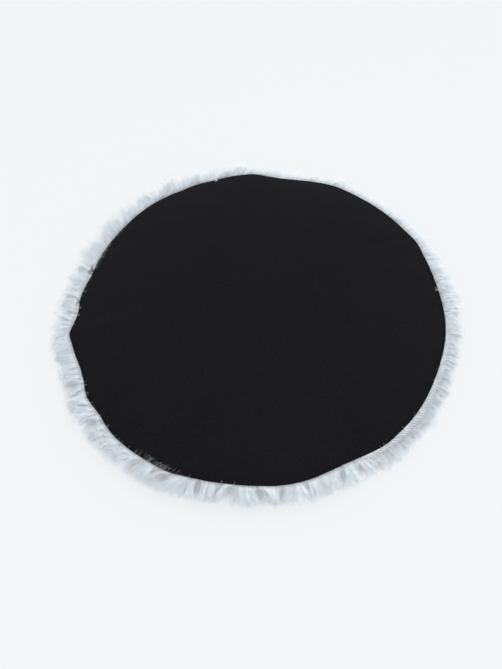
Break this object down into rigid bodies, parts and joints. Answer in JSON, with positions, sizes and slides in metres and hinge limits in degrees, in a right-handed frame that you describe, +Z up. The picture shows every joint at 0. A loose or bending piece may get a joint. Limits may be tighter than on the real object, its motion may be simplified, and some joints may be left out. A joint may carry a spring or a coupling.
{
  "type": "pet cushion bed",
  "caption": "Flat round stuffed pet cushion with a smooth black woven base and a long-pile fur fringe all round, shown fur side down.",
  "frame": {"origin": "centre of the bounding box, at the floor that the fur side rests on", "axes": "+Z up, through the cushion from the fur side to the base panel; +X and +Y in the floor plane"},
  "size_m": [0.4996, 0.5004, 0.0509],
  "materials": {
    "black_cloth": "matte",
    "backing_knit": "matte",
    "fur_pile": "matte",
    "white_fibre": "matte",
    "black_thread": "satin"
  },
  "bodies": {
    "root": {"base_panel": "black_cloth", "fur_backing": "backing_knit", "fur_pile": "fur_pile", "fibre_fill": "white_fibre", "seam_needle_thread": "black_thread", "seam_bobbin_thread": "black_thread", "closing_thread": "black_thread"}
  },
  "joints": []
}
